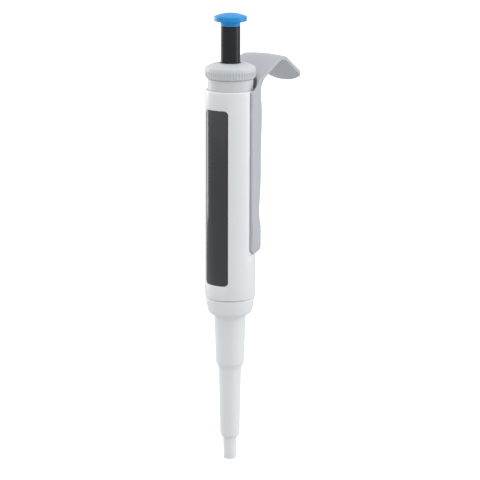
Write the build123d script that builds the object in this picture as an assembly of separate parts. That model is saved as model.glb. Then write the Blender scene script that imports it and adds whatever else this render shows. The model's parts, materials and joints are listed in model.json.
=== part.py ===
from build123d import *
import os
from math import cos, pi, radians, sin

# An adjustable air-displacement micropipette, 100 to 1000 microlitres.
# Millimetres, +Z up along the pipette, origin at the centre of the nozzle's mouth.
# The label panel faces -Y and the finger hook reaches towards +Y.
# A bearing round the main axis is counted from the front, positive towards +X.

# Metering. A microlitre is a cubic millimetre.
full_volume = 1000.0
blow_out_travel = 3.0
piston_radius = 5.0
metering_stroke = full_volume / (pi * piston_radius**2)
plunger_stroke = metering_stroke + blow_out_travel
volume_per_turn = 100.0
setting_turns = 9
screw_lead = metering_stroke * volume_per_turn / full_volume
carrier_travel = screw_lead * setting_turns

# Overall heights
housing_foot = 92.2
housing_top = 203.9
sleeve_mouth = 12.9
sleeve_top = 91.4

# Button and shaft
cap_radius = 8.55
cap_edge_bottom = 239.7
cap_edge_top = 242.2
cap_top = 244.0
shaft_radius = 5.15
ring_hub_bore = 5.5
shaft_bottom = 199.9
shaft_top = 237.1

# Setting ring and ejector collar
ring_radius = 13.35
ring_foot = 209.9
ring_edge_top = 215.6
ring_crown = 218.4
ridge_count = 54
collar_radius = 12.05
collar_bore = 10.9
collar_foot = 195.5

# Housing and label panel
housing_radius = 13.6
housing_bore = 11.9
collar_counterbore = 12.3
panel_radius = 13.55
panel_thickness = 0.9
panel_half_angle = 31.0
panel_foot = 100.5
panel_top = 194.0

# Finger rest
rest_seat_radius = 13.0
rest_front = -0.2
rest_gap = 1.1
rest_outer_radius = 14.6
rest_ring_clearance = 13.95
hook_half_width = 12.25
hook_thickness = 2.1
hook_crest_radius = 9.0
tongue_side = 44.0
tongue_end = 48.8
root_radius = 5.0
rim_radius = 0.4
hook_foot = (-2.0, 202.1)
hook_apex = (30.5, 221.3)
hook_tip = (49.9, 205.0)

# Mechanism
running_gap = 0.05
frame_radius = 11.85
rod_circle = 9.5
rod_radius = 1.0
rod_bearings = (28, 208)
base_bottom = 98.0
base_top = 104.0
middle_plate_bottom = 152.0
middle_plate_top = 154.6
upper_plate_bottom = 179.0
upper_plate_top = 182.2
clip_bottom = 182.25
clip_top = 183.25
cup_seat = 149.5
square_side = 3.4
spindle_radius = 1.9
counter_bearing = -62
counter_circle = 7.2
counter_axle_radius = 0.9
wheel_radius = 4.5
wheel_height = 4.8
wheel_feet = {"tens_wheel": 155.3, "hundreds_wheel": 160.6, "thousands_wheel": 165.9}
gear_foot = 174.8
gear_top = 178.3
gear_tip_radius = 3.55
gear_teeth = 12
carry_axle_radius = 0.6
carry_pinion_radius = 1.55
carry_feet = {"lower_carry_pinion": 158.6, "upper_carry_pinion": 163.9}

# Nozzle and seals
nozzle_land_radius = 3.58
nozzle_land_length = 4.5
cylinder_radius = 6.4
cylinder_bore = 5.4
seal_bore = piston_radius + running_gap


def place(radius, bearing):
    """Point of the ground plan at a distance from the axis and a bearing."""
    return (radius * sin(radians(bearing)), -radius * cos(radians(bearing)))


def at(radius, bearing, height=0.0):
    """Location at a distance from the axis, a bearing and a height."""
    x, y = place(radius, bearing)
    return Pos(x, y, height)


def turned(points):
    """Solid of revolution about Z from the (radius, height) corners of its half section."""
    outline = Polyline([(radius, 0, height) for radius, height in points], close=True)
    return revolve(make_face(outline), axis=Axis.Z)


def rod(radius, bottom, top):
    return turned([(0, bottom), (radius, bottom), (radius, top), (0, top)])


def tube(bore, radius, bottom, top):
    return turned([(bore, bottom), (radius, bottom), (radius, top), (bore, top)])


def wedge(inner, outer, middle, half_angle, bottom, top):
    """Sector of a tube, half_angle each side of the middle bearing."""
    corners = [(0, 0), place(3 * outer, middle - half_angle), place(3 * outer, middle + half_angle)]
    slice_block = extrude(make_face(Polyline(corners, close=True)), top - bottom)
    return tube(inner, outer, bottom, top) & Pos(0, 0, bottom) * slice_block


def rounded_wedge(inner, outer, middle, half_angle, bottom, top, corner):
    """The same sector with its four corners rounded, as seen along the radius."""
    block = wedge(inner, outer, middle, half_angle, bottom, top)
    corners = block.edges().filter_by(GeomType.LINE).sort_by(Edge.length)[:4]
    return fillet(corners, corner)


def square_bar(side, bottom, top):
    return Pos(0, 0, (bottom + top) / 2) * Box(side, side, top - bottom)


def side_prism(corners, half_width):
    """Solid with the given (y, z) side outline, spread both ways along X."""
    outline = Polyline([(0, y, z) for y, z in corners], close=True)
    return extrude(make_face(outline), half_width, dir=(1, 0, 0), both=True)


def coil(radius, wire, bottom, top, turns):
    """Open-ended compression spring between two heights."""
    pitch = (top - bottom - 2 * wire) / turns
    path = Pos(0, 0, bottom + wire) * Helix(pitch, pitch * turns, radius)
    start = Plane(origin=path @ 0, z_dir=path % 0)
    return sweep(start * Circle(wire), path=path, is_frenet=True)


def toothed_disc(bore, tip_radius, teeth, bottom, top, phase=0.0):
    """Short-toothed spur gear. phase turns it, in parts of a tooth."""
    root_radius = tip_radius - 0.6
    half_tooth = 0.30 * pi * tip_radius / teeth
    profile = Polyline(
        (root_radius - 0.2, -1.3 * half_tooth),
        (tip_radius, -0.7 * half_tooth),
        (tip_radius, 0.7 * half_tooth),
        (root_radius - 0.2, 1.3 * half_tooth),
        close=True,
    )
    tooth = Pos(0, 0, bottom) * extrude(make_face(profile), top - bottom)
    gear = rod(root_radius, bottom, top)
    for index in range(teeth):
        gear += Rot(0, 0, 360 / teeth * (index + phase)) * tooth
    return gear - rod(bore, bottom - 1, top + 1) if bore else gear


def joined(solids):
    """Several separate solids that share one node."""
    return Compound(children=list(solids))


parts = {}

# ---- handle: outer shells ------------------------------------------------------------------

shell = turned([
    (housing_bore, housing_foot), (13.2, housing_foot), (13.5, housing_foot + 0.3),
    (housing_radius, 112), (housing_radius, housing_top - 0.9), (13.35, housing_top - 0.25),
    (13.0, housing_top), (collar_counterbore, housing_top), (collar_counterbore, 189.5),
    (housing_bore, 189.0), (housing_bore, base_bottom), (11.0, base_bottom), (11.0, 96.0),
    (housing_bore, 96.0),
])
panel_recess = rounded_wedge(
    panel_radius - panel_thickness, 15, 0, panel_half_angle + 1.2, panel_foot - 0.3, panel_top + 0.3, 2.3
)
rest_seat = tube(rest_seat_radius, 16, 110, 210) & side_prism(
    [(rest_front - rest_gap, 114.2), (20, 118.3), (20, 206), (rest_front - rest_gap, 206)], 20
)
window_foot = wheel_feet["tens_wheel"] - 0.3
window_top = wheel_feet["thousands_wheel"] + wheel_height + 0.3
window_seat = rounded_wedge(12.6, 15, counter_bearing, 13, window_foot - 0.9, window_top + 0.9, 1.2)
window_hole = rounded_wedge(11, 13, counter_bearing, 10.5, window_foot, window_top, 0.8)
shell = shell - panel_recess - rest_seat - window_seat - window_hole
rest_screw_heights = (124.0, 186.2)
screw_hole = Rot(-90, 0, 0) * rod(1.35, 10, 17)
for height in rest_screw_heights:
    shell -= Pos(0, 0, height) * screw_hole
parts["housing"] = shell

parts["label_panel"] = rounded_wedge(
    panel_radius - panel_thickness, panel_radius, 0, panel_half_angle, panel_foot, panel_top, 2.0
)
parts["display_window"] = rounded_wedge(
    12.6, 13.45, counter_bearing, 13, window_foot - 0.9, window_top + 0.9, 1.2
)

# ---- handle: finger rest, one moulding of a back shell and a hook ---------------------------

# The back's round outline keeps its radius and shifts to and fro along Y with height.
back_shift = [
    (112, 3.4), (119, 3.4), (129.5, 3.4), (133.5, 2.55), (150, 2.9), (166, 3.2),
    (182, 3.66), (195, 3.66), (203, 2.5), (216, 2.3),
]
outlines = [Pos(0, shift, height) * Circle(rest_outer_radius) for height, shift in back_shift]
back = loft(outlines[:4], ruled=True) + loft(outlines[3:])
slope = (hook_apex[1] - hook_foot[1]) / (hook_apex[0] - hook_foot[0])
shoulder = hook_foot[1] - hook_foot[0] * slope
back &= side_prism(
    [(rest_front, 117.5), (rest_front + 2.5, 115.2), (22, 119.0), (22, shoulder + 22 * slope),
     (rest_front, shoulder + rest_front * slope)], 20
)
rise = Vector(0, *hook_apex) - Vector(0, *hook_foot)
fall = Vector(0, *hook_tip) - Vector(0, *hook_apex)
under_rise = Vector(0, rise.Z, -rise.Y).normalized()
under_fall = Vector(0, fall.Z, -fall.Y).normalized()
under_apex = (under_rise + under_fall) * (hook_thickness / (1 + under_rise.dot(under_fall)))
outer_line = [Vector(0, *corner) for corner in (hook_foot, hook_apex, hook_tip)]
under_line = [
    outer_line[2] + under_fall * hook_thickness,
    outer_line[1] + under_apex,
    outer_line[0] + under_rise * hook_thickness,
]
section = make_face(Polyline(outer_line + under_line, close=True))
by_height = section.vertices().sort_by(Axis.Z)
section = fillet(by_height[-1], hook_crest_radius)
section = fillet(section.vertices().sort_by_distance(under_line[1])[0], hook_crest_radius - hook_thickness)
tip_corners = section.vertices().sort_by(Axis.Y)[-2:]
section = fillet(tip_corners, 0.45 * hook_thickness)
blade = extrude(section, hook_half_width, dir=(1, 0, 0), both=True)
plan = make_face(Wire([
    Line((-hook_half_width, -5), (-hook_half_width, tongue_side)),
    ThreePointArc((-hook_half_width, tongue_side), (0, tongue_end), (hook_half_width, tongue_side)),
    Line((hook_half_width, tongue_side), (hook_half_width, -5)),
    Line((hook_half_width, -5), (-hook_half_width, -5)),
]))
plan = fillet(plan.vertices().group_by(Axis.Y)[-1], 3.5)
blade &= Pos(0, 0, 195) * extrude(plan, 40)
rest = back + blade
root_edge = rest.edges().filter_by(lambda edge: edge.length > 25 and 15 < (edge @ 0.5).Y < 16.5)
rest = fillet(root_edge.sort_by(Axis.Z)[-1], root_radius)
rest -= rod(rest_ring_clearance, housing_top, 240)
rest -= rod(rest_seat_radius + running_gap, 100, housing_top + 0.2)


def is_sharp(solid, edge):
    """True where two faces of a solid meet at more than about 30 degrees."""
    normals = [face.normal_at(edge @ 0.5) for face in solid.faces() if edge in face.edges()]
    return len(normals) == 2 and normals[0].dot(normals[1]) < 0.85


def stays_sharp(edge):
    """The short edges where the blade's side runs into the back, and one low front edge."""
    middle = edge @ 0.5
    beside_root = 12 < abs(middle.X) < 12.5 and 9 < middle.Y < 10.5
    low_front = middle.X < -14 and 118 < middle.Z < 129 and middle.Y < 0
    return beside_root or low_front


rims = [edge for edge in rest.edges() if is_sharp(rest, edge) and not stays_sharp(edge)]
rest = fillet(rims, rim_radius)
screw_pilot = Rot(-90, 0, 0) * rod(1.0, 12, 16.6)
for height in rest_screw_heights:
    rest -= Pos(0, 0, height) * screw_pilot
parts["finger_rest"] = rest

rest_screw = Rot(-90, 0, 0) * turned([
    (0, 10.5), (2.0, 10.5), (2.0, 11.75), (1.0, 11.75), (1.0, 16.4), (0, 16.4),
]) - Rot(-90, 0, 0) * Pos(0, 0, 10.4) * Box(0.5, 3.0, 1.2)
parts["finger_rest_screws"] = joined(Pos(0, 0, height) * rest_screw for height in rest_screw_heights)

# ---- handle: inner frame --------------------------------------------------------------------

rod_hole = rod(rod_radius + 0.3, base_bottom - 10, upper_plate_top + 10)
rod_holes = [at(rod_circle, bearing) * rod_hole for bearing in rod_bearings]
counter_at = at(counter_circle, counter_bearing)
carry_x, carry_y = place(counter_circle, counter_bearing)
carry_reach = wheel_radius + carry_pinion_radius + 0.15
carry_dx, carry_dy = place(carry_reach, 40)
carry_at = Pos(carry_x + carry_dx, carry_y + carry_dy)

frame = tube(5.2, frame_radius, upper_plate_bottom, upper_plate_top)
frame += tube(3.0, frame_radius, middle_plate_bottom, middle_plate_top)
for bearing in (-5, 75, 150):
    frame += wedge(10.4, frame_radius, bearing, 8, base_top, upper_plate_bottom)
frame -= counter_at * rod(counter_axle_radius + running_gap, middle_plate_bottom + 0.6, 181.4)
frame -= carry_at * rod(carry_axle_radius, middle_plate_bottom + 0.6, 181.4)
for hole in rod_holes:
    frame -= hole
parts["mechanism_frame"] = frame

parts["frame_clip"] = tube(10.9, frame_radius, clip_bottom, clip_top) - wedge(
    10, 12, 120, 12, clip_bottom - 1, clip_top + 1
)
parts["drive_bushing"] = turned([
    (4.35, upper_plate_bottom + 0.1), (5.15, upper_plate_bottom + 0.1), (5.15, upper_plate_top),
    (6.2, upper_plate_top), (6.2, upper_plate_top + 0.25), (4.35, upper_plate_top + 0.25),
])
parts["carry_axle"] = carry_at * rod(carry_axle_radius, middle_plate_bottom + 0.7, 181.2)

base = turned([
    (5.3, housing_foot), (7.65, housing_foot), (7.65, base_bottom + 0.05), (frame_radius, base_bottom + 0.05),
    (frame_radius, base_top), (5.3, base_top),
])
for hole in rod_holes:
    base -= hole
parts["base_plate"] = base

guide_top = 133.5
guide = tube(6.3, 6.7, base_top, guide_top)
guide_rib = Pos(5.85, 0, (119.5 + guide_top) / 2) * Box(1.3, 1.2, guide_top - 119.5)
guide += guide_rib + Rot(0, 0, 180) * guide_rib
parts["guide_tube"] = guide
parts["stop_washer"] = tube(5.8, 6.25, 117.5, 118.7)
parts["blow_out_spring"] = coil(6.02, 0.2, base_top + 0.02, 117.45, 6)
parts["plunger_spring"] = coil(7.3, 0.4, base_top + 0.02, cup_seat - 0.02, 10)
rod_spring = coil(1.33, 0.21, base_top + 0.02, 126.1, 12)
parts["ejector_springs"] = joined(at(rod_circle, bearing) * rod_spring for bearing in rod_bearings)

# ---- handle: nozzle, seals and coupling nut -------------------------------------------------

parts["nozzle"] = turned([
    (1.5, 0.0), (nozzle_land_radius, 0.0), (nozzle_land_radius, nozzle_land_length), (3.83, 12.0),
    (4.1, 30.0), (4.2, 51.0), (cylinder_radius, 57.5), (cylinder_radius, 84.5), (7.6, 84.5),
    (7.6, 91.8), (6.6, 91.8), (6.6, 85.5), (cylinder_bore, 85.5), (cylinder_bore, 58.3), (1.5, 54.5),
])
parts["coupling_nut"] = turned([
    (6.5, 83.4), (7.8, 83.4), (8.0, 83.7), (8.0, 97.0), (7.7, 97.0), (7.7, 84.4), (6.5, 84.4),
])
parts["piston_seal"] = turned([
    (seal_bore, 85.55), (6.55, 85.55), (6.55, 88.0), (5.9, 88.0), (5.7, 86.8), (5.4, 86.8), (5.3, 88.0),
    (seal_bore, 88.0),
])
seal_ring_section = Pos(5.95, 0, 88.65) * Rot(90, 0, 0) * Circle(0.55)
parts["seal_ring"] = revolve(seal_ring_section, axis=Axis.Z)
parts["seal_retainer"] = tube(5.3, 6.55, 89.3, 91.7)

# ---- plunger --------------------------------------------------------------------------------

button = turned([
    (0, 232.5), (2.4, 232.5), (2.4, shaft_top), (shaft_radius, shaft_top), (shaft_radius, 239.2),
    (5.7, cap_edge_bottom), (8.05, cap_edge_bottom), (cap_radius, 240.3), (cap_radius, 241.7),
    (8.3, cap_edge_top), (7.2, 242.8), (4.5, 243.6), (0, cap_top),
])
parts["button_cap"] = button
parts["button_shaft"] = turned([
    (3.5, shaft_bottom), (4.75, shaft_bottom), (shaft_radius, shaft_bottom + 0.4), (shaft_radius, shaft_top),
    (2.4, shaft_top), (2.4, 232.0), (0, 232.0), (0, 203.2), (3.5, 203.2),
])
parts["spindle_retainer"] = tube(2.6, 3.5, shaft_bottom, 200.8)

# ---- ejector --------------------------------------------------------------------------------

collar = turned([
    (8.2, collar_foot), (11.7, collar_foot), (collar_radius, collar_foot + 0.4), (collar_radius, 209.3),
    (11.7, 209.8), (collar_bore, 209.8), (collar_bore, 198.0), (8.2, 198.0),
])
for bearing in rod_bearings:
    collar -= at(rod_circle, bearing) * rod(rod_radius, collar_foot - 1, 199)
parts["ejector_collar"] = collar
ejector_rod = rod(rod_radius, 88.6, 198.0)
parts["ejector_rods"] = joined(at(rod_circle, bearing) * ejector_rod for bearing in rod_bearings)
rod_clip = tube(rod_radius, 1.6, 126.2, 127.2)
parts["rod_clips"] = joined(at(rod_circle, bearing) * rod_clip for bearing in rod_bearings)
bridge = tube(8.25, 11.45, 88.6, 91.0)
for bearing in rod_bearings:
    bridge -= at(rod_circle, bearing) * rod(rod_radius, 88, 92)
parts["rod_bridge"] = bridge
parts["ejector_sleeve"] = turned([
    (4.15, sleeve_mouth), (4.6, sleeve_mouth), (5.1, sleeve_mouth + 0.5), (5.37, sleeve_mouth + 1.9), (5.71, 32.9), (6.14, 51.2), (6.76, 53.5),
    (7.71, 55.7), (8.04, 67.0), (8.4, 80.5), (8.85, 81.6), (10.5, 82.8), (11.8, 83.9), (12.16, 85.0),
    (12.6, 87.2), (13.1, 90.6), (12.9, sleeve_top), (11.5, sleeve_top), (11.5, 87.8), (11.0, 85.8),
    (10.5, 84.5),
    (9.1, 83.1), (7.35, 81.8), (7.1, 80.5), (6.85, 67.0), (6.8, 56.2), (5.9, 54.2), (5.2, 51.6),
    (4.75, 32.9), (4.4, 15.9), (4.15, 14.9),
])
parts["ring_clip"] = tube(10.4, collar_bore, 204.1, 204.9)

# ---- setting ring ---------------------------------------------------------------------------

hub_foot = 196.0
ring = turned([
    (ring_hub_bore, hub_foot), (6.7, hub_foot), (6.7, 213.0), (9.6, 213.0), (9.6, 203.0), (10.6, 203.0),
    (10.6, 203.95), (10.3, 203.95), (10.3, 205.05), (10.6, 205.05), (10.6, ring_foot),
    (12.1, ring_foot), (13.1, 210.6), (ring_radius, 211.4), (ring_radius, ring_edge_top - 0.4),
    (13.05, ring_edge_top), (11.9, 216.7), (9.4, 217.75), (9.1, 218.15), (6.2, ring_crown), (ring_hub_bore, 218.2),
])
knurl = Pos(ring_radius + 0.25, 0) * rod(0.62, ring_foot - 0.2, 213.7)
for index in range(ridge_count):
    ring -= Rot(0, 0, 360 / ridge_count * index) * knurl
drive_key = Pos(7.0, 0, 201.0) * Box(1.0, 1.6, 10.0)
ring += drive_key + Rot(0, 0, 180) * drive_key
parts["setting_ring"] = ring

# ---- drive sleeve, gear and washer ----------------------------------------------------------

sleeve = turned([
    (3.4, 178.6), (4.3, 178.6), (4.3, 182.5), (7.9, 182.5), (7.9, 206.0), (6.95, 206.0), (6.95, 184.0),
    (0, 184.0), (0, 180.4), (3.4, 180.4),
])
sleeve -= square_bar(square_side + 0.2, 178, 185)
key_slot = Pos(7.5, 0, 198.5) * Box(1.9, 1.9, 17.0)
sleeve = sleeve - key_slot - Rot(0, 0, 180) * key_slot
parts["drive_sleeve"] = sleeve
gear_hub = rod(3.35, gear_foot, 180.3)
drive_gear = toothed_disc(0, gear_tip_radius, gear_teeth, gear_foot, gear_top) + gear_hub
drive_gear = Rot(0, 0, -90 + counter_bearing) * drive_gear - square_bar(square_side + 0.2, 174, 181)
parts["drive_gear"] = drive_gear
parts["drive_washer"] = tube(3.4, 5.0, 178.35, 178.55)

# ---- spindle --------------------------------------------------------------------------------

screw_bottom = 128.0
square_foot = 174.0
spindle = rod(spindle_radius, screw_bottom, square_foot) + square_bar(square_side, square_foot, 201.0)
spindle += rod(3.2, 201.0, 203.0)
for turn in range(13):
    groove_height = screw_bottom + 1.0 + turn * screw_lead
    spindle -= tube(spindle_radius - 0.25, 2.2, groove_height, groove_height + 0.5)
parts["spindle"] = spindle
parts["spring_cup"] = tube(spindle_radius, 7.6, cup_seat, cup_seat + 1.0) + tube(
    spindle_radius, 2.9, cup_seat, cup_seat + 2.0
)

# ---- piston carrier -------------------------------------------------------------------------

carrier = turned([
    (0, 118.2), (2.5, 118.2), (2.5, 124.5), (4.3, 124.5), (4.3, 131.5), (5.7, 131.5), (5.7, 137.0),
    (4.3, 137.0), (4.3, 148.4), (3.4, 148.4), (3.4, 142.0), (2.2, 142.0), (2.2, 126.5), (0, 126.5),
])
keyway = Pos(5.7, 0, 134.2) * Box(1.3, 1.6, 7.0)
carrier = carrier - keyway - Rot(0, 0, 180) * keyway
parts["piston_carrier"] = carrier
parts["spindle_nut"] = tube(spindle_radius + 0.1, 3.4, 142.05, 148.2)
parts["piston"] = turned([
    (0, 86.0), (4.6, 86.0), (piston_radius, 86.5), (piston_radius, 124.0), (2.55, 124.0), (2.55, 118.0),
    (0, 118.0),
])

# ---- number wheels --------------------------------------------------------------------------

counter_axle = rod(counter_axle_radius, middle_plate_bottom + 0.8, 181.2)
counter_axle += rod(1.5, 171.0, gear_foot - 0.1)
parts["counter_axle"] = counter_at * counter_axle
pinion = toothed_disc(counter_axle_radius, gear_tip_radius, gear_teeth, gear_foot, gear_top, 0.5)
parts["counter_pinion"] = counter_at * Rot(0, 0, -90 + counter_bearing) * pinion
for name, foot in wheel_feet.items():
    bore = counter_axle_radius if name == "tens_wheel" else counter_axle_radius + running_gap
    wheel = turned([
        (bore, foot), (wheel_radius - 0.15, foot), (wheel_radius, foot + 0.15),
        (wheel_radius, foot + wheel_height - 0.15), (wheel_radius - 0.15, foot + wheel_height),
        (bore, foot + wheel_height),
    ])
    parts[name] = counter_at * wheel
for name, foot in carry_feet.items():
    parts[name] = carry_at * toothed_disc(
        carry_axle_radius + running_gap, carry_pinion_radius, 8, foot, foot + 3.4
    )

os.makedirs("parts", exist_ok=True)
for name, solid in parts.items():
    export_step(solid, f"parts/{name}.step")
print(len(parts), "parts; stroke", round(plunger_stroke, 3), "lead", round(screw_lead, 4),
      "carrier travel", round(carrier_travel, 3))
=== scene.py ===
import json
import math
import bpy
import bmesh
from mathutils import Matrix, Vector


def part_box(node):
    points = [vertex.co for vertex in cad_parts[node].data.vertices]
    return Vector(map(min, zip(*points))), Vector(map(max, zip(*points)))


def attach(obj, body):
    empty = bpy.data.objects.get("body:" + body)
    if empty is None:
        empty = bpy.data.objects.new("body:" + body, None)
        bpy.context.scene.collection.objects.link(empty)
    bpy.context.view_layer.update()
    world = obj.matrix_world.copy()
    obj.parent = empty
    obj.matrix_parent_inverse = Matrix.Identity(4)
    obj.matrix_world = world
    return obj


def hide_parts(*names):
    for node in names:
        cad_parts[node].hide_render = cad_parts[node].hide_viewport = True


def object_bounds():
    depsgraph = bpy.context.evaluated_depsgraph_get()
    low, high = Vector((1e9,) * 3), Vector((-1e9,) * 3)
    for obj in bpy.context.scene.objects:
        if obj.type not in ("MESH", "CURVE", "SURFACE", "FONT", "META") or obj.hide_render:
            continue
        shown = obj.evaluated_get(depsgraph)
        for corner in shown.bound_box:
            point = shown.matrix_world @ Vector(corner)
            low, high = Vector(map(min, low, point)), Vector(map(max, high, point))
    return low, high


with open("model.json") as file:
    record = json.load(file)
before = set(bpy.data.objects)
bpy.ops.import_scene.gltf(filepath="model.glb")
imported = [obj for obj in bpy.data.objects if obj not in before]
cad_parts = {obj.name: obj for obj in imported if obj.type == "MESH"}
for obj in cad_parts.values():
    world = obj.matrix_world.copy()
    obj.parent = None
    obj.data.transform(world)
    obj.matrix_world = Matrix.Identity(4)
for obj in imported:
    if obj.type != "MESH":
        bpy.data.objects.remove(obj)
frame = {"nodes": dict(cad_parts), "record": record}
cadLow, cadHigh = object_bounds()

mm = 0.001
# a turned profile that closes on its axis starts and ends at this radius, and that ring is merged
nearAxis = 0.01
smoothAngle = math.radians(32)
slotOf = {part["node"]: part["material_slot"] for part in frame["record"]["subparts"]}
print("frame loaded,", len(frame["nodes"]), "nodes")


# working helpers

def dropSelection():
    if bpy.context.mode != "OBJECT":
        bpy.ops.object.mode_set(mode="OBJECT")
    bpy.ops.object.select_all(action="DESELECT")


def pick(piece):
    dropSelection()
    piece.select_set(True)
    bpy.context.view_layer.objects.active = piece


def boxOf(node):
    # lowest and highest height and the largest radius of a CAD node, in millimetres
    low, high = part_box(node)
    return low.z / mm, high.z / mm, (high.x - low.x) / 2 / mm


def applyAll(piece):
    pick(piece)
    for modifier in list(piece.modifiers):
        bpy.ops.object.modifier_apply(modifier=modifier.name)


def settle(piece):
    # place and size go into the mesh, so the object sits at the origin
    pick(piece)
    bpy.ops.object.transform_apply(location=True, rotation=True, scale=True)


def softenEdges(piece, width, steps=3, angle=30):
    bevel = piece.modifiers.new("soft edges", "BEVEL")
    bevel.width = width * mm
    bevel.segments = steps
    bevel.limit_method = "ANGLE"
    bevel.angle_limit = math.radians(angle)
    bevel.use_clamp_overlap = True
    bevel.harden_normals = False
    applyAll(piece)
    pick(piece)
    bpy.ops.object.shade_smooth_by_angle(angle=smoothAngle)


def turned(name, profile, around, axis=(0, 0)):
    # a turned piece: one circle, drawn out and resized from corner to corner of (radius, height)
    dropSelection()
    firstRadius, firstHeight = profile[0]
    bpy.ops.mesh.primitive_circle_add(
        vertices=around, radius=firstRadius * mm, location=(axis[0] * mm, axis[1] * mm, firstHeight * mm))
    piece = bpy.context.object
    piece.name = name
    settle(piece)
    bpy.ops.object.mode_set(mode="EDIT")
    bpy.ops.mesh.select_all(action="SELECT")
    closed = profile[0] == profile[-1]
    for (oldRadius, oldHeight), (radius, height) in zip(profile, profile[1:]):
        rise = (height - oldHeight) * mm
        bpy.ops.mesh.extrude_edges_move(TRANSFORM_OT_translate={"value": (0, 0, rise)})
        grow = radius / oldRadius
        centre = (axis[0] * mm, axis[1] * mm, height * mm)
        bpy.ops.transform.resize(value=(grow, grow, 1), center_override=centre)
    if closed:
        bpy.ops.mesh.select_all(action="SELECT")
        bpy.ops.mesh.remove_doubles(threshold=1e-6)
    bpy.ops.mesh.select_all(action="SELECT")
    if not closed:
        for end in (0, -1):
            pickRing(piece, profile[end], axis)
            if profile[end][0] > nearAxis:
                bpy.ops.mesh.edge_face_add()
            else:
                bpy.ops.mesh.merge(type="CENTER")
    bpy.ops.mesh.select_all(action="SELECT")
    bpy.ops.mesh.normals_make_consistent(inside=False)
    bpy.ops.object.mode_set(mode="OBJECT")
    return piece


def pickRing(piece, corner, axis=(0, 0)):
    # selects the ring of vertices at one corner of a turned profile
    mesh = bmesh.from_edit_mesh(piece.data)
    radius, height = corner
    for vertex in mesh.verts:
        distance = math.hypot(vertex.co.x - axis[0] * mm, vertex.co.y - axis[1] * mm)
        vertex.select = abs(vertex.co.z - height * mm) < 2e-6 and abs(distance - radius * mm) < 4e-6
    mesh.select_flush(True)
    mesh.select_flush_mode()
    bmesh.update_edit_mesh(piece.data)


def boolean(piece, cutter, operation):
    cut = piece.modifiers.new(operation.lower(), "BOOLEAN")
    cut.operation = operation
    cut.solver = "EXACT"
    cut.object = cutter
    applyAll(piece)
    bpy.data.objects.remove(cutter, do_unlink=True)


def roundedBlock(name, wide, deep, tall, centre, corner):
    # a box whose four edges along Y are rounded
    dropSelection()
    bpy.ops.mesh.primitive_cube_add(size=1, location=[value * mm for value in centre])
    block = bpy.context.object
    block.name = name
    block.scale = (wide * mm, deep * mm, tall * mm)
    settle(block)
    bpy.ops.object.mode_set(mode="EDIT")
    mesh = bmesh.from_edit_mesh(block.data)
    bpy.ops.mesh.select_all(action="DESELECT")
    for edge in mesh.edges:
        run = edge.verts[0].co - edge.verts[1].co
        edge.select = abs(run.y) > 0.9 * deep * mm
    bmesh.update_edit_mesh(block.data)
    bpy.ops.mesh.bevel(offset=corner * mm, segments=10, affect="EDGES")
    bpy.ops.object.mode_set(mode="OBJECT")
    return block


def curvedPlate(name, inner, outer, halfAngle, bottom, top, corner, bearing=0, surface=None):
    # a piece of tube wall with rounded corners: an upright face spun about the main axis, then trimmed;
    # its width is that of the half angle at the surface radius
    dropSelection()
    bpy.ops.mesh.primitive_plane_add(size=1, location=(0, 0, 0))
    plate = bpy.context.object
    plate.name = name
    plate.scale = ((outer - inner) * mm, (top - bottom) * mm, 1)
    plate.rotation_euler = (math.radians(90), 0, 0)
    plate.location = ((inner + outer) / 2 * mm, 0, (bottom + top) / 2 * mm)
    settle(plate)
    sweep = halfAngle + 5
    plate.rotation_euler = (0, 0, math.radians(-90 + sweep))
    settle(plate)
    bpy.ops.object.mode_set(mode="EDIT")
    bpy.ops.mesh.select_all(action="SELECT")
    bpy.ops.mesh.spin(steps=int(sweep * 1.1), angle=math.radians(2 * sweep),
                      center=(0, 0, 0), axis=(0, 0, 1))
    bpy.ops.mesh.select_all(action="SELECT")
    bpy.ops.mesh.remove_doubles(threshold=1e-6)
    bpy.ops.mesh.normals_make_consistent(inside=False)
    bpy.ops.object.mode_set(mode="OBJECT")
    wide = 2 * (surface or outer) * math.sin(math.radians(halfAngle))
    middle = (0, -outer, (bottom + top) / 2)
    trim = roundedBlock("corners", wide, 2 * outer, top - bottom - 0.02, middle, corner)
    boolean(plate, trim, "INTERSECT")
    plate.rotation_euler = (0, 0, math.radians(bearing))
    settle(plate)
    return plate


def place(piece, body, node):
    # the piece takes over from its CAD node: its body, its material slot and its material
    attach(piece, body)
    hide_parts(node)
    piece.data.materials.clear()
    piece.data.materials.append(materials[slotOf[node]])
    print("  piece", piece.name, "on", body)


# materials

def makeGroup(name, inputs, outputs):
    group = bpy.data.node_groups.new(name, "ShaderNodeTree")
    for label, value in inputs:
        socket = group.interface.new_socket(label, in_out="INPUT", socket_type="NodeSocketFloat")
        socket.default_value = value
    for label in outputs:
        group.interface.new_socket(label, in_out="OUTPUT", socket_type="NodeSocketFloat")
    start = group.nodes.new("NodeGroupInput")
    end = group.nodes.new("NodeGroupOutput")
    return group, start, end


def mathNode(group, operation, first, second=None):
    node = group.nodes.new("ShaderNodeMath")
    node.operation = operation
    for index, value in enumerate((first, second)):
        if value is None:
            continue
        if isinstance(value, (int, float)):
            node.inputs[index].default_value = value
        else:
            group.links.new(value, node.inputs[index])
    return node.outputs[0]


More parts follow.
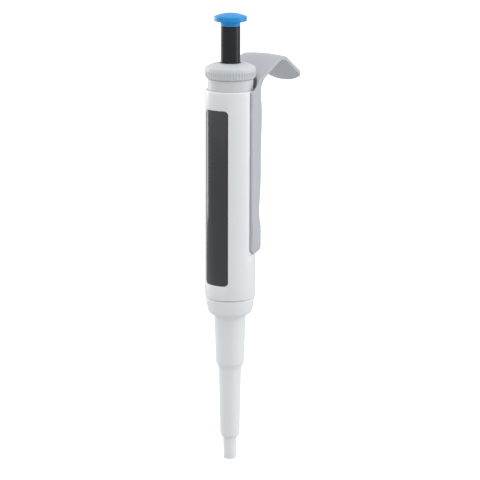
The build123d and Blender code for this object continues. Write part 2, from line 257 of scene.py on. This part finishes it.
def buildMouldedSkin():
    # the skin of a moulding: fine spark-eroded grain on a slow waviness, and a mottle for the gloss
    sockets = [("Grain size", 0.35), ("Grain depth", 1.0), ("Waviness", 1.0)]
    group, start, end = makeGroup("moulded skin", sockets, ["Height", "Mottle"])
    coordinates = group.nodes.new("ShaderNodeTexCoord")
    scale = mathNode(group, "DIVIDE", 1000.0, start.outputs["Grain size"])
    grain = group.nodes.new("ShaderNodeTexNoise")
    grain.inputs["Detail"].default_value = 3
    grain.inputs["Roughness"].default_value = 0.6
    wave = group.nodes.new("ShaderNodeTexNoise")
    wave.inputs["Scale"].default_value = 140
    wave.inputs["Detail"].default_value = 1
    mottle = group.nodes.new("ShaderNodeTexNoise")
    mottle.inputs["Scale"].default_value = 55
    mottle.inputs["Detail"].default_value = 4
    for texture in (grain, wave, mottle):
        group.links.new(coordinates.outputs["Object"], texture.inputs["Vector"])
    group.links.new(scale, grain.inputs["Scale"])
    fine = mathNode(group, "MULTIPLY", grain.outputs["Fac"], start.outputs["Grain depth"])
    slow = mathNode(group, "MULTIPLY", wave.outputs["Fac"], start.outputs["Waviness"])
    group.links.new(mathNode(group, "ADD", fine, slow), end.inputs["Height"])
    group.links.new(mottle.outputs["Fac"], end.inputs["Mottle"])
    return group


def buildTurnedMarks():
    # fine rings or draw lines that a lathe or die leaves on metal
    sockets = [("Lines per mm", 6.0), ("Depth", 1.0)]
    group, start, end = makeGroup("turned marks", sockets, ["Height", "Streak"])
    coordinates = group.nodes.new("ShaderNodeTexCoord")
    stretch = group.nodes.new("ShaderNodeMapping")
    stretch.inputs["Scale"].default_value = (40, 40, 1)
    group.links.new(coordinates.outputs["Object"], stretch.inputs["Vector"])
    noise = group.nodes.new("ShaderNodeTexNoise")
    noise.inputs["Detail"].default_value = 2
    group.links.new(stretch.outputs["Vector"], noise.inputs["Vector"])
    scale = mathNode(group, "MULTIPLY", start.outputs["Lines per mm"], 1000.0)
    group.links.new(scale, noise.inputs["Scale"])
    height = mathNode(group, "MULTIPLY", noise.outputs["Fac"], start.outputs["Depth"])
    group.links.new(height, end.inputs["Height"])
    group.links.new(noise.outputs["Fac"], end.inputs["Streak"])
    return group


mouldedSkin = buildMouldedSkin()
turnedMarks = buildTurnedMarks()

# colour, gloss and skin of each finish; depths in millimetres
finishes = {
    "white_plastic": {"colour": (0.815, 0.840, 0.868), "rough": 0.34, "spread": 0.05, "tint": 0.015,
                      "size": 0.30, "depth": 0.004, "wave": 0.004},
    "pale_plastic": {"colour": (0.640, 0.672, 0.700), "rough": 0.42, "spread": 0.06, "tint": 0.02,
                     "size": 0.26, "depth": 0.006, "wave": 0.003},
    "grey_plastic": {"colour": (0.500, 0.520, 0.552), "rough": 0.45, "spread": 0.06, "tint": 0.02,
                     "size": 0.22, "depth": 0.010, "wave": 0.004},
    "nozzle_plastic": {"colour": (0.820, 0.845, 0.870), "rough": 0.38, "spread": 0.05, "tint": 0.015,
                       "size": 0.28, "depth": 0.004, "wave": 0.002},
    "blue_plastic": {"colour": (0.003, 0.300, 0.730), "rough": 0.40, "spread": 0.06, "tint": 0.03,
                     "size": 0.24, "depth": 0.006, "wave": 0.003},
    "black_plastic": {"colour": (0.018, 0.019, 0.022), "rough": 0.27, "ior": 1.32, "spread": 0.05, "tint": 0.10,
                      "size": 0.40, "depth": 0.002, "wave": 0.004},
    "panel_plastic": {"colour": (0.042, 0.044, 0.049), "rough": 0.16, "spread": 0.06, "tint": 0.06,
                      "size": 0.50, "depth": 0.0015, "wave": 0.004},
    "frame_plastic": {"colour": (0.150, 0.155, 0.165), "rough": 0.55, "spread": 0.08, "tint": 0.05,
                      "size": 0.25, "depth": 0.010, "wave": 0.003},
    "wheel_plastic": {"colour": (0.020, 0.020, 0.022), "rough": 0.45, "spread": 0.06, "tint": 0.05,
                      "size": 0.20, "depth": 0.006, "wave": 0.001},
    "seal_plastic": {"colour": (0.820, 0.815, 0.780), "rough": 0.50, "spread": 0.08, "tint": 0.03,
                     "size": 0.20, "depth": 0.004, "wave": 0.003},
    "seal_rubber": {"colour": (0.018, 0.018, 0.018), "rough": 0.70, "spread": 0.10, "tint": 0.10,
                    "size": 0.15, "depth": 0.012, "wave": 0.002},
}
metals = {
    "steel": {"colour": (0.560, 0.570, 0.590), "rough": 0.28, "lines": 5.0, "depth": 0.004},
    "piston_steel": {"colour": (0.660, 0.670, 0.690), "rough": 0.10, "lines": 9.0, "depth": 0.001},
    "brass": {"colour": (0.760, 0.560, 0.250), "rough": 0.26, "lines": 5.0, "depth": 0.004},
}
materials = {}
# the bump's full depth in millimetres; each finish asks for a part of it
bumpDepth = 0.01


def startMaterial(name):
    material = bpy.data.materials.new(name)
    material.use_nodes = True
    tree = material.node_tree
    shader = tree.nodes["Principled BSDF"]
    return material, tree, shader


def addBump(tree, shader, height):
    bump = tree.nodes.new("ShaderNodeBump")
    bump.inputs["Strength"].default_value = 0.6
    bump.inputs["Distance"].default_value = bumpDepth * mm
    tree.links.new(height, bump.inputs["Height"])
    tree.links.new(bump.outputs["Normal"], shader.inputs["Normal"])


def ramp(tree, source, low, high):
    # maps a mask from 0..1 on to a working range
    spread = tree.nodes.new("ShaderNodeMapRange")
    spread.inputs["From Min"].default_value = 0.3
    spread.inputs["From Max"].default_value = 0.7
    spread.inputs["To Min"].default_value = low
    spread.inputs["To Max"].default_value = high
    tree.links.new(source, spread.inputs["Value"])
    return spread.outputs["Result"]


def mixShade(tree, source, colour, tint):
    mix = tree.nodes.new("ShaderNodeMix")
    mix.data_type = "RGBA"
    mix.inputs["A"].default_value = (*[value * (1 - tint) for value in colour], 1)
    mix.inputs["B"].default_value = (*[min(1, value * (1 + tint)) for value in colour], 1)
    tree.links.new(source, mix.inputs["Factor"])
    return mix.outputs["Result"]


def plastic(name, finish):
    material, tree, shader = startMaterial(name)
    skin = tree.nodes.new("ShaderNodeGroup")
    skin.node_tree = mouldedSkin
    skin.inputs["Grain size"].default_value = finish["size"]
    skin.inputs["Grain depth"].default_value = finish["depth"] / bumpDepth
    skin.inputs["Waviness"].default_value = finish["wave"] / bumpDepth
    addBump(tree, shader, skin.outputs["Height"])
    mottle = skin.outputs["Mottle"]
    roughness = ramp(tree, mottle, finish["rough"] - finish["spread"], finish["rough"] + finish["spread"])
    tree.links.new(roughness, shader.inputs["Roughness"])
    colour = mixShade(tree, mottle, finish["colour"], finish["tint"])
    tree.links.new(colour, shader.inputs["Base Color"])
    shader.inputs["IOR"].default_value = finish.get("ior", 1.5)
    return material


def metal(name, finish):
    material, tree, shader = startMaterial(name)
    marks = tree.nodes.new("ShaderNodeGroup")
    marks.node_tree = turnedMarks
    marks.inputs["Lines per mm"].default_value = finish["lines"]
    marks.inputs["Depth"].default_value = finish["depth"] / bumpDepth
    addBump(tree, shader, marks.outputs["Height"])
    streak = marks.outputs["Streak"]
    roughness = ramp(tree, streak, finish["rough"] * 0.8, finish["rough"] * 1.25)
    tree.links.new(roughness, shader.inputs["Roughness"])
    colour = mixShade(tree, streak, finish["colour"], 0.05)
    tree.links.new(colour, shader.inputs["Base Color"])
    shader.inputs["Metallic"].default_value = 1
    return material


def clearPlastic():
    material, tree, shader = startMaterial("clear_plastic")
    skin = tree.nodes.new("ShaderNodeGroup")
    skin.node_tree = mouldedSkin
    skin.inputs["Grain depth"].default_value = 0.1
    skin.inputs["Waviness"].default_value = 0.3
    addBump(tree, shader, skin.outputs["Height"])
    roughness = ramp(tree, skin.outputs["Mottle"], 0.02, 0.07)
    tree.links.new(roughness, shader.inputs["Roughness"])
    shader.inputs["Base Color"].default_value = (0.93, 0.96, 0.97, 1)
    shader.inputs["Transmission Weight"].default_value = 1
    shader.inputs["IOR"].default_value = 1.45
    return material


for name, finish in finishes.items():
    materials[name] = plastic(name, finish)
for name, finish in metals.items():
    materials[name] = metal(name, finish)
materials["clear_plastic"] = clearPlastic()
digitFinish = {**finishes["white_plastic"], "colour": (0.86, 0.86, 0.84)}
materials["digit_white"] = plastic("digit_white", digitFinish)
for node, piece in frame["nodes"].items():
    piece.data.materials.clear()
    piece.data.materials.append(materials[slotOf[node]])
print("materials made:", len(materials))


# button cap: domed disc on a short neck

capSizes = {"height": 6.9, "neck": 5.15, "rimBottom": 2.4, "rimTop": 5.15, "rimInset": 0.35,
            "domeFlatness": 1.9, "domeSteps": 9}


def buildButtonCap():
    _, high, radius = boxOf("button_cap")
    neckFoot = high - capSizes["height"]
    under = neckFoot + capSizes["rimBottom"]
    edge = neckFoot + capSizes["rimTop"]
    neck = capSizes["neck"]
    domeRadius = radius - capSizes["rimInset"]
    domeFoot = edge + 0.05
    profile = [(nearAxis, neckFoot), (neck, neckFoot), (neck, under - 0.9), (neck + 0.2, under - 0.6),
               (neck + 0.8, under - 0.25), (radius - 0.9, under), (radius - 0.25, under + 0.12),
               (radius, under + 0.35), (radius, edge - 0.3), (radius - 0.1, edge - 0.12),
               (domeRadius, domeFoot)]
    # the thumb face is a shallow dome
    for step in range(1, capSizes["domeSteps"] + 1):
        reach = 1 - step / capSizes["domeSteps"]
        rise = (high - domeFoot) * (1 - reach ** capSizes["domeFlatness"])
        profile.append((domeRadius * reach + nearAxis, domeFoot + rise))
    cap = turned("button_cap_moulding", profile, 96)
    softenEdges(cap, 0.1, 2, 24)
    place(cap, "plunger", "button_cap")


# plunger shaft: satin black tube with a chamfered foot

shaftSizes = {"footBore": 3.5, "footDepth": 3.3, "headBore": 2.4, "headDepth": 5}


def buildButtonShaft():
    low, high, radius = boxOf("button_shaft")
    footBore, footFloor = shaftSizes["footBore"], low + shaftSizes["footDepth"]
    headBore, headFloor = shaftSizes["headBore"], high - shaftSizes["headDepth"]
    top = high - 0.02
    profile = [(nearAxis, footFloor), (footBore, footFloor), (footBore, low), (radius - 0.4, low),
               (radius, low + 0.4), (radius, high - 0.25), (radius - 0.2, top), (headBore, top),
               (headBore, headFloor), (nearAxis, headFloor)]
    shaft = turned("plunger_shaft", profile, 96)
    softenEdges(shaft, 0.12, 2)
    place(shaft, "plunger", "button_shaft")


# setting ring: smooth domed crown over a fluted grip

ringSizes = {"height": 8.5, "bore": 5.5, "hub": 6.45, "plate": 3.1, "skirt": 10.6, "skirtWall": 1,
             "skirtDrop": 6.9, "flutes": 54, "fluteRadius": 0.52, "fluteDepth": 0.42, "gripTop": 3.8}


def buildSettingRing():
    low, high, radius = boxOf("setting_ring")
    foot = high - ringSizes["height"]
    bore, hub, skirt = ringSizes["bore"], ringSizes["hub"], ringSizes["skirt"]
    inside = skirt - ringSizes["skirtWall"]
    plate, skirtFoot = foot + ringSizes["plate"], foot - ringSizes["skirtDrop"]
    profile = [(bore, low), (hub, low), (hub, plate), (inside, plate), (inside, skirtFoot),
               (skirt, skirtFoot), (skirt, foot), (12.1, foot), (12.7, foot + 0.2), (13.1, foot + 0.7),
               (radius, foot + 1.5), (radius, high - 3.1), (radius - 0.08, high - 2.82),
               (radius - 0.3, high - 2.58), (radius - 0.8, high - 2.2), (radius - 1.6, high - 1.76),
               (radius - 2.8, high - 1.3), (9.7, high - 1.0), (9.3, high - 0.85), (8.6, high - 0.72),
               (7.0, high - 0.5), (bore + 0.5, high - 0.42), (bore, high - 0.65), (bore, low)]
    ring = turned("setting_ring_moulding", profile, 216)
    fluteDistance = radius - ringSizes["fluteDepth"] + ringSizes["fluteRadius"]
    cutter = fluteCutter(ringSizes["flutes"], fluteDistance, foot - 0.3, foot + ringSizes["gripTop"])
    boolean(ring, cutter, "DIFFERENCE")
    softenEdges(ring, 0.10, 2, 28)
    place(ring, "volume_ring", "setting_ring")


def fluteCutter(count, distance, bottom, top):
    # one round-ended flute, copied all round and joined
    wide = ringSizes["fluteRadius"]
    profile = [(nearAxis, bottom), (wide, bottom), (wide, top - 0.5), (wide * 0.75, top - 0.15), (nearAxis, top)]
    flute = turned("flute", profile, 12, (distance, 0))
    flutes = [flute]
    for index in range(1, count):
        copy = flute.copy()
        copy.data = flute.data.copy()
        bpy.context.collection.objects.link(copy)
        copy.rotation_euler = (0, 0, 2 * math.pi * index / count)
        flutes.append(copy)
    dropSelection()
    for copy in flutes:
        copy.select_set(True)
    bpy.context.view_layer.objects.active = flute
    bpy.ops.object.join()
    settle(flute)
    return flute


# ejector collar: the smooth sleeve under the ring

collarSizes = {"bore": 10.9, "lip": 8.2, "floor": 2.5}


def buildEjectorCollar():
    low, high, radius = boxOf("ejector_collar")
    bore, lip, floor = collarSizes["bore"], collarSizes["lip"], low + collarSizes["floor"]
    profile = [(lip, low), (radius - 0.35, low), (radius, low + 0.4), (radius, high - 0.5),
               (radius - 0.35, high), (bore, high), (bore, floor), (lip, floor), (lip, low)]
    collar = turned("ejector_collar_moulding", profile, 144)
    softenEdges(collar, 0.15, 2)
    place(collar, "ejector", "ejector_collar")


# housing: white grip shell with its label recess, window and seat for the finger rest

housingSizes = {"bore": 11.9, "counterbore": 12.3, "counterFoot": 189.5, "stopBore": 11.0,
                "stopFoot": 96.0, "stopTop": 98.0, "draftTop": 112, "outside": 15}
panelSizes = {"halfAngle": 31.0, "thickness": 0.9, "corner": 2.0, "recessFloor": 12.65, "recessAngle": 32.2,
              "recessCorner": 2.2, "gap": 0.28}
windowSizes = {"bearing": -62, "halfAngle": 13.0, "inner": 12.62, "outer": 13.4, "corner": 1.2, "seatFloor": 12.6,
               "seatAngle": 13.4, "seatGap": 0.08, "holeAngle": 10.5, "holeMargin": 0.9, "holeCorner": 0.8}
seatSizes = {"radius": 13.0, "outer": 16, "front": -1.3, "bottom": 105, "foot": 115.8, "slope": 4.1 / 21.3}


def buildHousing():
    low, high, radius = boxOf("housing")
    bore, counter, counterFoot = housingSizes["bore"], housingSizes["counterbore"], housingSizes["counterFoot"]
    stop, stopFoot, stopTop = housingSizes["stopBore"], housingSizes["stopFoot"], housingSizes["stopTop"]
    profile = [(bore, low), (13.15, low), (13.42, low + 0.12), (13.5, low + 0.4),
               (radius, housingSizes["draftTop"]), (radius, 160), (radius, high - 1.15),
               (radius - 0.06, high - 0.7), (radius - 0.22, high - 0.32), (radius - 0.5, high - 0.06),
               (radius - 0.75, high), (counter, high), (counter, counterFoot), (bore, counterFoot - 0.5),
               (bore, stopTop), (stop, stopTop), (stop, stopFoot), (bore, stopFoot), (bore, low)]
    housing = turned("housing_moulding", profile, 192)
    for cutter in (panelRecess(radius), windowSeat(radius), windowHole(), restSeatCutter(high)):
        boolean(housing, cutter, "DIFFERENCE")
    softenEdges(housing, 0.16, 2, 32)
    place(housing, "handle", "housing")


def panelRecess(surface):
    low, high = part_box("label_panel")
    gap = panelSizes["gap"]
    return curvedPlate("label recess", panelSizes["recessFloor"], housingSizes["outside"], panelSizes["recessAngle"],
                       low.z / mm - gap, high.z / mm + gap, panelSizes["recessCorner"], surface=surface)


def windowSeat(surface):
    low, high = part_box("display_window")
    gap = windowSizes["seatGap"]
    return curvedPlate("window seat", windowSizes["seatFloor"], housingSizes["outside"], windowSizes["seatAngle"],
                       low.z / mm - gap, high.z / mm + gap, windowSizes["corner"], windowSizes["bearing"], surface)


def windowHole():
    low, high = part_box("display_window")
    margin = windowSizes["holeMargin"]
    return curvedPlate("window hole", 11, 13, windowSizes["holeAngle"], low.z / mm + margin, high.z / mm - margin,
                       windowSizes["holeCorner"], windowSizes["bearing"])


def restSeatCutter(high):
    # a thick half tube behind the seat's front line, with a slanted foot
    inner, outer, bottom = seatSizes["radius"], seatSizes["outer"], seatSizes["bottom"]
    front, foot, slope = seatSizes["front"] * mm, seatSizes["foot"] * mm, seatSizes["slope"]
    profile = [(inner, bottom), (outer, bottom), (outer, high + 5), (inner, high + 5), (inner, bottom)]
    cutter = turned("rest seat", profile, 192)
    pick(cutter)
    bpy.ops.object.mode_set(mode="EDIT")
    for point, normal in (((0, front, 0), (0, -1, 0)), ((0, front, foot), (0, slope, -1))):
        bpy.ops.mesh.select_all(action="SELECT")
        bpy.ops.mesh.bisect(plane_co=point, plane_no=normal, use_fill=True, clear_outer=True)
    bpy.ops.mesh.select_all(action="SELECT")
    bpy.ops.mesh.normals_make_consistent(inside=False)
    bpy.ops.object.mode_set(mode="OBJECT")
    return cutter


# label panel and display window

def buildLabelPanel():
    low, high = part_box("label_panel")
    radius = -low.y / mm
    panel = curvedPlate("label_panel_inlay", radius - panelSizes["thickness"], radius, panelSizes["halfAngle"],
                        low.z / mm, high.z / mm, panelSizes["corner"])
    softenEdges(panel, 0.22, 3, 40)
    place(panel, "handle", "label_panel")


def buildDisplayWindow():
    low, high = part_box("display_window")
    lens = curvedPlate("display_window_lens", windowSizes["inner"], windowSizes["outer"], windowSizes["halfAngle"],
                       low.z / mm, high.z / mm, windowSizes["corner"], windowSizes["bearing"])
    softenEdges(lens, 0.15, 3, 40)
    place(lens, "handle", "display_window")


# finger rest: the CAD moulding with a raised foot, a crowned blade and a fuller tongue

restSizes = {"blade": 12.25, "bladeStart": 14.0, "bladeFull": 24.0, "crown": 0.75, "widening": 0.35,
             "cuts": 12, "tongueStart": 38.0, "tongueEnd": 48.75, "tongueLength": 10, "tongueGrowth": 4.42,
             "tongueDrop": 0.8, "footTop": 124.0, "footLift": 0.19, "backTop": 200, "backRadius": 13.4,
             "backBlend": 5, "thinning": 0.4}


def buildFingerRest():
    rest = copyOf(frame["nodes"]["finger_rest"], "finger_rest_moulding")
    half = restSizes["blade"]
    pick(rest)
    bpy.ops.object.mode_set(mode="EDIT")
    bpy.ops.mesh.select_all(action="SELECT")
    bpy.ops.mesh.remove_doubles(threshold=2e-6)
    for cut in range(1, restSizes["cuts"]):
        across = half * (2 * cut / restSizes["cuts"] - 1)
        bpy.ops.mesh.select_all(action="SELECT")
        bpy.ops.mesh.bisect(plane_co=(across * mm, 0, 0), plane_no=(1, 0, 0))
    bpy.ops.object.mode_set(mode="OBJECT")
    for vertex in rest.data.vertices:
        x, y, z = [value / mm for value in vertex.co]
        if z < restSizes["footTop"]:
            z += (restSizes["footTop"] - z) * restSizes["footLift"]
        if z < restSizes["backTop"]:
            x, y, z = thinBack(x, y, z)
        elif y >= restSizes["bladeStart"]:
            x, y, z = crownBlade(x, y, z, half)
        vertex.co = (x * mm, y * mm, z * mm)
    pick(rest)
    bpy.ops.object.shade_smooth_by_angle(angle=smoothAngle)
    place(rest, "handle", "finger_rest")


def thinBack(x, y, z):
    # the back plate's outer face comes in a little
    if y > 0 and math.hypot(x, y) > restSizes["backRadius"]:
        y -= restSizes["thinning"] * min(1, y / restSizes["backBlend"])
    return x, y, z


def crownBlade(x, y, z, half):
    # the blade rises and widens away from the housing, and its tongue droops with fuller corners
    grown = min(1, (y - restSizes["bladeStart"]) / (restSizes["bladeFull"] - restSizes["bladeStart"]))
    grown = grown * grown * (3 - 2 * grown)
    side = min(1, abs(x) / half)
    z += restSizes["crown"] * grown * (1 - side * side)
    if y > restSizes["tongueStart"]:
        reach = (y - restSizes["tongueStart"]) / restSizes["tongueLength"]
        y += restSizes["tongueGrowth"] * side ** 3 * reach
        z -= restSizes["tongueDrop"] * reach * (1 - 0.3 * side)
    x += restSizes["widening"] * grown * x / half
    return x, min(y, restSizes["tongueEnd"]), z


# ejector sleeve: stepped white tube below the housing

def buildEjectorSleeve():
    low, _, _ = boxOf("ejector_sleeve")
    # each wall is an outline of (radius, height) from the mouth up
    outer = [(4.15, low), (4.55, low), (4.85, low + 0.1), (5.12, low + 0.4), (5.28, low + 0.9),
             (5.36, low + 1.6), (5.43, 16.3), (5.71, 32.9), (6.10, 50.2), (6.16, 51.2), (6.3, 52.1),
             (6.62, 53.1), (7.1, 53.9), (7.45, 54.6), (7.62, 55.3), (7.71, 56.2), (8.04, 67.0),
             (8.38, 79.8), (8.45, 80.5), (8.62, 81.1), (9.0, 81.7), (9.8, 82.25), (10.6, 82.75),
             (11.3, 83.3), (11.75, 83.85), (12.02, 84.5), (12.16, 85.2), (12.62, 87.4), (13.05, 90.4),
             (13.12, 91.1), (13.05, 91.5), (12.85, 91.78), (12.5, 91.9)]
    inner = [(4.15, low), (4.15, 14.9), (4.4, 15.9), (4.75, 32.9), (5.2, 51.6), (5.9, 54.2), (6.8, 56.2),
             (6.85, 67.0), (7.1, 80.5), (7.35, 81.8), (9.1, 83.1), (10.5, 84.5), (11.0, 85.8),
             (11.5, 87.8), (11.5, 91.9)]
    sleeve = turned("ejector_sleeve_moulding", outer + inner[::-1], 144)
    pick(sleeve)
    bpy.ops.object.shade_smooth_by_angle(angle=math.radians(40))
    place(sleeve, "ejector", "ejector_sleeve")


# nozzle: tapered seat for the tip, with its air channel

nozzleSizes = {"channel": 1.5, "seat": 3.58, "seatLength": 4.5, "cylinderBore": 5.4, "sealBore": 6.6,
               "body": 6.4, "flange": 7.6, "flangeFoot": 84.5, "sealFoot": 85.5}


def buildNozzle():
    _, high, _ = boxOf("nozzle")
    channel, seat, seatLength = nozzleSizes["channel"], nozzleSizes["seat"], nozzleSizes["seatLength"]
    cylinder, seal, sealFoot = nozzleSizes["cylinderBore"], nozzleSizes["sealBore"], nozzleSizes["sealFoot"]
    body, flange, flangeFoot = nozzleSizes["body"], nozzleSizes["flange"], nozzleSizes["flangeFoot"]
    profile = [(channel, 0.12), (1.72, 0.0), (3.36, 0.0), (3.5, 0.06), (seat, 0.25), (seat, seatLength),
               (3.83, 12.0), (4.1, 30.0), (4.2, 51.0), (body, 57.5), (body, flangeFoot),
               (flange, flangeFoot), (flange, high), (seal, high), (seal, sealFoot), (cylinder, sealFoot),
               (cylinder, 58.3), (channel, 54.5), (channel, 0.12)]
    nozzle = turned("nozzle_moulding", profile, 96)
    pick(nozzle)
    bpy.ops.object.shade_smooth_by_angle(angle=smoothAngle)
    place(nozzle, "handle", "nozzle")


# number wheels: black drums with raised white figures

wheelSizes = {"radius": 4.5, "bore": 0.96, "hub": 3.6, "rim": 4.1, "groove": 0.3, "edge": 0.12,
              "figureSize": 4.2, "figureDepth": 0.05, "stripe": 0.35, "startFigures": (1, 0, 0)}


def buildNumberWheels():
    axisX, axisY = wheelAxis()
    names = ("thousands_wheel", "hundreds_wheel", "tens_wheel")
    bodies = ("thousands_counter", "hundreds_counter", "tens_counter")
    allFigures = wheelFigures(axisX, axisY, wheelSizes["radius"])
    bore, hub, rim = wheelSizes["bore"], wheelSizes["hub"], wheelSizes["rim"]
    groove, edge = wheelSizes["groove"], wheelSizes["edge"]
    for node, body, figure in zip(names, bodies, wheelSizes["startFigures"]):
        low, high, radius = boxOf(node)
        profile = [(bore, low), (hub, low), (hub, low + groove), (rim, low + groove), (rim, low),
                   (radius - edge, low), (radius, low + edge), (radius, high - edge), (radius - edge, high),
                   (rim, high), (rim, high - groove), (hub, high - groove), (hub, high), (bore, high), (bore, low)]
        drum = turned(node + "_drum", profile, 80, (axisX, axisY))
        softenEdges(drum, 0.06, 2)
        place(drum, body, node)
        figures = copyOf(allFigures, node + "_figures")
        pick(figures)
        bpy.ops.object.mode_set(mode="EDIT")
        bpy.ops.mesh.select_all(action="SELECT")
        turnAbout(-2 * math.pi * figure / 10, (axisX * mm, axisY * mm, 0))
        bpy.ops.transform.translate(value=(0, 0, (low + high) / 2 * mm))
        bpy.ops.object.mode_set(mode="OBJECT")
        figures.data.materials.clear()
        figures.data.materials.append(materials["digit_white"])
        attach(figures, body)
    bpy.data.objects.remove(allFigures, do_unlink=True)


def copyOf(piece, name):
    copy = piece.copy()
    copy.data = piece.data.copy()
    copy.name = name
    bpy.context.collection.objects.link(copy)
    return copy


def turnAbout(angle, centre):
    # with no window the operator turns the other way, so the sign is given turned round
    bpy.ops.transform.rotate(value=-angle, orient_axis="Z", center_override=centre)


def wheelAxis():
    low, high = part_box("tens_wheel")
    return (low.x + high.x) / 2 / mm, (low.y + high.y) / 2 / mm


def wheelFigures(axisX, axisY, radius):
    # ten raised figures wrapped round a drum, nought facing out of the window
    facing = math.atan2(axisY, axisX)
    made = []
    for step in range(10):
        dropSelection()
        bpy.ops.object.text_add(location=(0, 0, 0))
        text = bpy.context.object
        text.data.body = str(step)
        text.data.align_x = "CENTER"
        text.data.align_y = "CENTER"
        text.data.size = wheelSizes["figureSize"] * mm
        text.data.extrude = wheelSizes["figureDepth"] * mm
        text.data.resolution_u = 4
        bpy.ops.object.convert(target="MESH")
        figure = bpy.context.object
        bpy.ops.object.mode_set(mode="EDIT")
        for stripe in range(-3, 4):
            bpy.ops.mesh.select_all(action="SELECT")
            bpy.ops.mesh.bisect(plane_co=(stripe * wheelSizes["stripe"] * mm, 0, 0), plane_no=(1, 0, 0))
        bpy.ops.mesh.select_all(action="SELECT")
        bpy.ops.mesh.remove_doubles(threshold=2e-6)
        bpy.ops.mesh.normals_make_consistent(inside=False)
        bpy.ops.object.mode_set(mode="OBJECT")
        # across the flat figure becomes an angle on the drum, up stays up
        for vertex in figure.data.vertices:
            angle = facing + 2 * math.pi * step / 10 + vertex.co.x / (radius * mm)
            reach = radius * mm + vertex.co.z
            x = axisX * mm + reach * math.cos(angle)
            y = axisY * mm + reach * math.sin(angle)
            vertex.co = (x, y, vertex.co.y)
        made.append(figure)
    dropSelection()
    for figure in made:
        figure.select_set(True)
    bpy.context.view_layer.objects.active = made[0]
    bpy.ops.object.join()
    return made[0]


# camera, floor and light

stageSizes = {"cameraBearing": 37.0, "cameraDistance": 0.931, "cameraHeight": 0.3428, "cameraTilt": 13.3,
              "roll": -0.10, "lens": 134.25, "sensor": 36, "shift": 0.0190, "floorDrop": 0.30,
              "floorSize": 30.0, "floorGlow": 0.9, "sky": 0.86, "aimHeight": 0.13}
# bearings are in degrees round from the camera; distances, heights and sizes are in metres
softboxes = {
    "left softbox": {"bearing": -128, "distance": 0.9, "height": 0.35, "size": 0.6, "power": 3.4},
    "right softbox": {"bearing": 88, "distance": 0.9, "height": 0.35, "size": 0.6, "power": 2.7},
    "top softbox": {"bearing": -20, "distance": 0.35, "height": 1.1, "size": 0.5, "power": 1.3},
}


def buildStage():
    addCamera()
    addFloor()
    world = bpy.data.worlds.new("studio")
    bpy.context.scene.world = world
    world.use_nodes = True
    sky = world.node_tree.nodes["Background"]
    sky.inputs["Color"].default_value = (1, 1, 1, 1)
    sky.inputs["Strength"].default_value = stageSizes["sky"]
    for name, box in softboxes.items():
        addSoftbox(name, box)
    bpy.context.scene.view_settings.view_transform = "Standard"
    bpy.context.scene.view_settings.look = "None"


def addCamera():
    bearing = math.radians(stageSizes["cameraBearing"])
    distance = stageSizes["cameraDistance"]
    camera = bpy.data.objects.new("camera", bpy.data.cameras.new("camera"))
    camera.data.lens = stageSizes["lens"]
    camera.data.sensor_width = stageSizes["sensor"]
    camera.data.shift_x = stageSizes["shift"]
    camera.data.clip_end = 100
    camera.location = (distance * math.sin(bearing), -distance * math.cos(bearing), stageSizes["cameraHeight"])
    tilt, roll = math.radians(90 - stageSizes["cameraTilt"]), math.radians(stageSizes["roll"])
    camera.rotation_euler = (tilt, roll, bearing)
    bpy.context.collection.objects.link(camera)
    bpy.context.scene.camera = camera


def addFloor():
    # a white floor well below the object; the glow is only what the camera sees of it
    dropSelection()
    floorHeight = cadLow.z - stageSizes["floorDrop"]
    bpy.ops.mesh.primitive_plane_add(size=stageSizes["floorSize"], location=(0, 0, floorHeight))
    floor = bpy.context.object
    floor.name = "studio_floor"
    floorPaint, tree, shader = startMaterial("studio white")
    shader.inputs["Base Color"].default_value = (0.60, 0.60, 0.60, 1)
    shader.inputs["Roughness"].default_value = 0.9
    shader.inputs["Emission Color"].default_value = (1, 1, 1, 1)
    lightPath = tree.nodes.new("ShaderNodeLightPath")
    glow = mathNode(tree, "MULTIPLY", lightPath.outputs["Is Camera Ray"], stageSizes["floorGlow"])
    tree.links.new(glow, shader.inputs["Emission Strength"])
    floor.data.materials.append(floorPaint)


def addSoftbox(name, box):
    bearing = math.radians(stageSizes["cameraBearing"]) + math.radians(box["bearing"])
    light = bpy.data.lights.new(name, "AREA")
    light.shape = "RECTANGLE"
    light.size = box["size"] * 0.6
    light.size_y = box["size"] * 1.6
    light.energy = box["power"]
    lamp = bpy.data.objects.new(name, light)
    lamp.location = (box["distance"] * math.sin(bearing), -box["distance"] * math.cos(bearing), box["height"])
    aim = Vector((0, 0, stageSizes["aimHeight"])) - lamp.location
    lamp.rotation_euler = aim.to_track_quat("-Z", "Y").to_euler()
    bpy.context.collection.objects.link(lamp)


buildStage()
print("stage set")
buildButtonCap()
buildButtonShaft()
buildSettingRing()
buildEjectorCollar()
buildHousing()
buildLabelPanel()
buildDisplayWindow()
buildFingerRest()
buildEjectorSleeve()
buildNozzle()
buildNumberWheels()
dropSelection()
print("pieces made")
